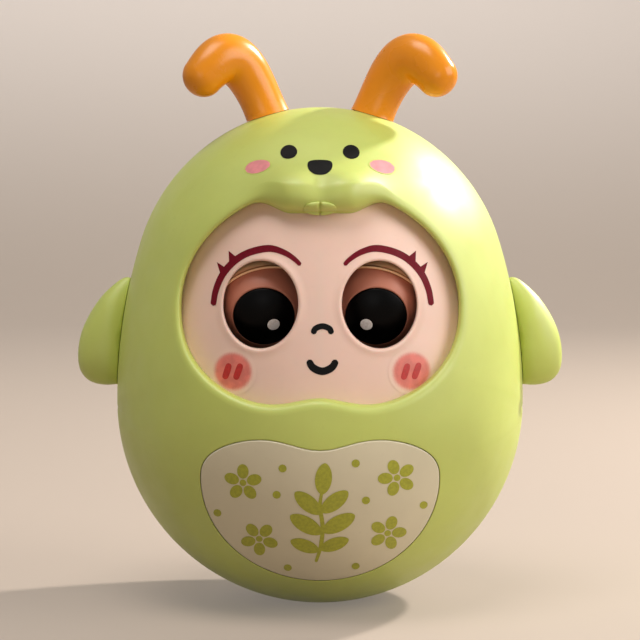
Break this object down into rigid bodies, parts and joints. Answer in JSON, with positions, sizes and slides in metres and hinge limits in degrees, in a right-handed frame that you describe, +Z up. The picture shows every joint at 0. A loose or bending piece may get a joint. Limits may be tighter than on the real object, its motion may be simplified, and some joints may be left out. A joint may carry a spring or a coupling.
{
  "type": "roly poly toy",
  "caption": "Egg-shaped roly poly toy with a weighted round foot, a doll face with rolling eyes in an animal hood, floppy ears, fin arms and an inner bell.",
  "frame": {"origin": "middle of the small flat that the toy rests on", "axes": "+Z up along the egg's axis, the face looks along -Y, +X to the right as one faces the toy"},
  "size_m": [0.1196, 0.1, 0.139],
  "materials": {
    "hood_green": "satin moulded plastic",
    "face_skin": "matt moulded plastic with printed features",
    "panel_cream": "satin inlay with a printed pattern",
    "ear_orange": "soft glossy plastic",
    "eye_white": "polished",
    "eye_black": "polished",
    "inner_plastic": "plain moulding",
    "steel": "zinc plated",
    "weight_iron": "cast and tumbled",
    "bell_brass": "polished"
  },
  "bodies": {
    "toy": {"front_shell": "hood_green", "rear_shell": "hood_green", "face_mask": "face_skin", "belly_panel": "panel_cream", "left_ear": "ear_orange", "right_ear": "ear_orange", "left_arm": "hood_green", "right_arm": "hood_green", "left_eye_bracket": "inner_plastic", "right_eye_bracket": "inner_plastic", "bracket_screws": "steel", "mask_screws": "steel", "shell_screws": "steel", "weight_screws": "steel", "chime_screws": "steel", "base_weight": "weight_iron", "chime_frame": "inner_plastic", "chime_bell": "bell_brass", "bell_hanger": "steel", "hanger_nut": "bell_brass", "clapper_pin": "steel"},
    "eyes": {"left_eyeball": "eye_white", "right_eyeball": "eye_white", "left_iris": "eye_black", "right_iris": "eye_black", "left_eyelid": "face_skin", "right_eyelid": "face_skin", "eye_axle": "steel", "eye_weight_arm": "steel", "eye_counterweight": "steel"},
    "clapper": {"clapper": "steel"}
  },
  "joints": [
    {"name": "eye_roll", "type": "hinge", "parent": "toy", "child": "eyes", "pos_m": [0, -0.0262, 0.07536], "axis": [1, 0, 0], "range_deg": [0, 85]},
    {"name": "clapper_swing", "type": "hinge", "parent": "toy", "child": "clapper", "pos_m": [0, 0.014, 0.0387], "axis": [1, 0, 0], "range_deg": [-40, 40]}
  ]
}
